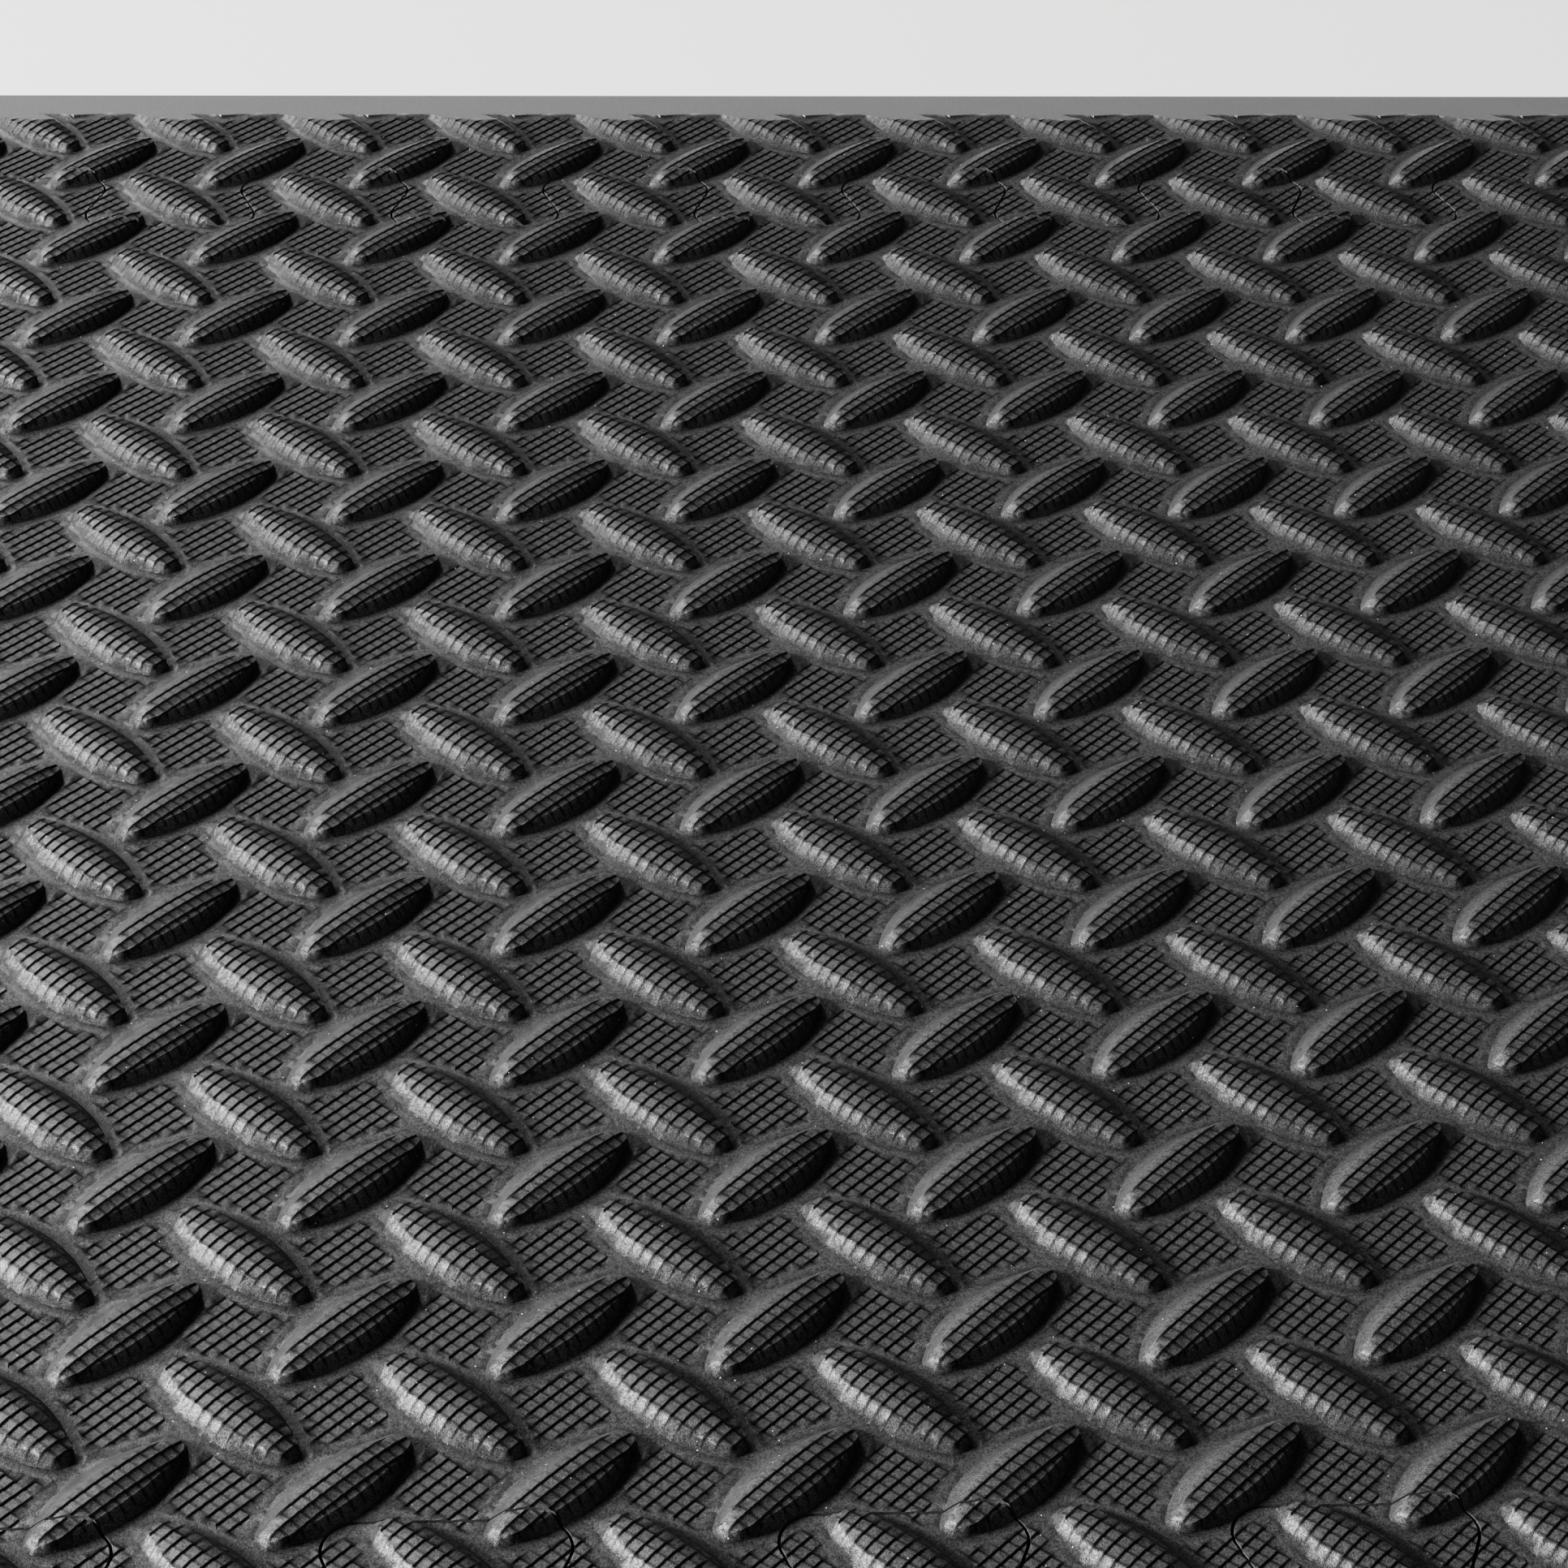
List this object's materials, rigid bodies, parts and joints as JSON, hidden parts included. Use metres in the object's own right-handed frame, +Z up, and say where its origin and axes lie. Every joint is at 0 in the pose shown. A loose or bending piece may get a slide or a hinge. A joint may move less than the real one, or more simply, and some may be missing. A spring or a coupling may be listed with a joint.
{
  "type": "door mat",
  "caption": "Flat rectangular door mat of interlocking foam tiles with bevelled edge strips, a raised leaf pattern of crossed lugs and a fine crosshatched skin.",
  "frame": {"origin": "middle of the underside, on the floor", "axes": "+X along the mat's long side, +Y towards its back edge, +Z up"},
  "size_m": [0.7, 0.4, 0.012],
  "materials": {
    "foam_tile": "matt charcoal foam skin with a fine pressed crosshatch and a soft sheen",
    "foam_border": "the same foam, with a smooth cut bevel"
  },
  "bodies": {
    "tile_left": {"tile_left": "foam_tile"},
    "tile_right": {"tile_right": "foam_tile"},
    "edge_front_left": {"edge_front_left": "foam_border"},
    "edge_front_right": {"edge_front_right": "foam_border"},
    "edge_back_left": {"edge_back_left": "foam_border"},
    "edge_back_right": {"edge_back_right": "foam_border"},
    "edge_left": {"edge_left": "foam_border"},
    "edge_right": {"edge_right": "foam_border"},
    "corner_front_left": {"corner_front_left": "foam_border"},
    "corner_front_right": {"corner_front_right": "foam_border"},
    "corner_back_left": {"corner_back_left": "foam_border"},
    "corner_back_right": {"corner_back_right": "foam_border"}
  },
  "joints": [
    {"name": "tile_right_lift", "type": "slide", "parent": "tile_left", "child": "tile_right", "axis": [0, 0, 1], "range_m": [0, 0.03]},
    {"name": "edge_front_left_lift", "type": "slide", "parent": "tile_left", "child": "edge_front_left", "axis": [0, 0, 1], "range_m": [0, 0.03]},
    {"name": "edge_front_right_lift", "type": "slide", "parent": "tile_left", "child": "edge_front_right", "axis": [0, 0, 1], "range_m": [0, 0.03]},
    {"name": "edge_back_left_lift", "type": "slide", "parent": "tile_left", "child": "edge_back_left", "axis": [0, 0, 1], "range_m": [0, 0.03]},
    {"name": "edge_back_right_lift", "type": "slide", "parent": "tile_left", "child": "edge_back_right", "axis": [0, 0, 1], "range_m": [0, 0.03]},
    {"name": "edge_left_lift", "type": "slide", "parent": "tile_left", "child": "edge_left", "axis": [0, 0, 1], "range_m": [0, 0.03]},
    {"name": "edge_right_lift", "type": "slide", "parent": "tile_left", "child": "edge_right", "axis": [0, 0, 1], "range_m": [0, 0.03]},
    {"name": "corner_front_left_lift", "type": "slide", "parent": "tile_left", "child": "corner_front_left", "axis": [0, 0, 1], "range_m": [0, 0.03]},
    {"name": "corner_front_right_lift", "type": "slide", "parent": "tile_left", "child": "corner_front_right", "axis": [0, 0, 1], "range_m": [0, 0.03]},
    {"name": "corner_back_left_lift", "type": "slide", "parent": "tile_left", "child": "corner_back_left", "axis": [0, 0, 1], "range_m": [0, 0.03]},
    {"name": "corner_back_right_lift", "type": "slide", "parent": "tile_left", "child": "corner_back_right", "axis": [0, 0, 1], "range_m": [0, 0.03]}
  ]
}
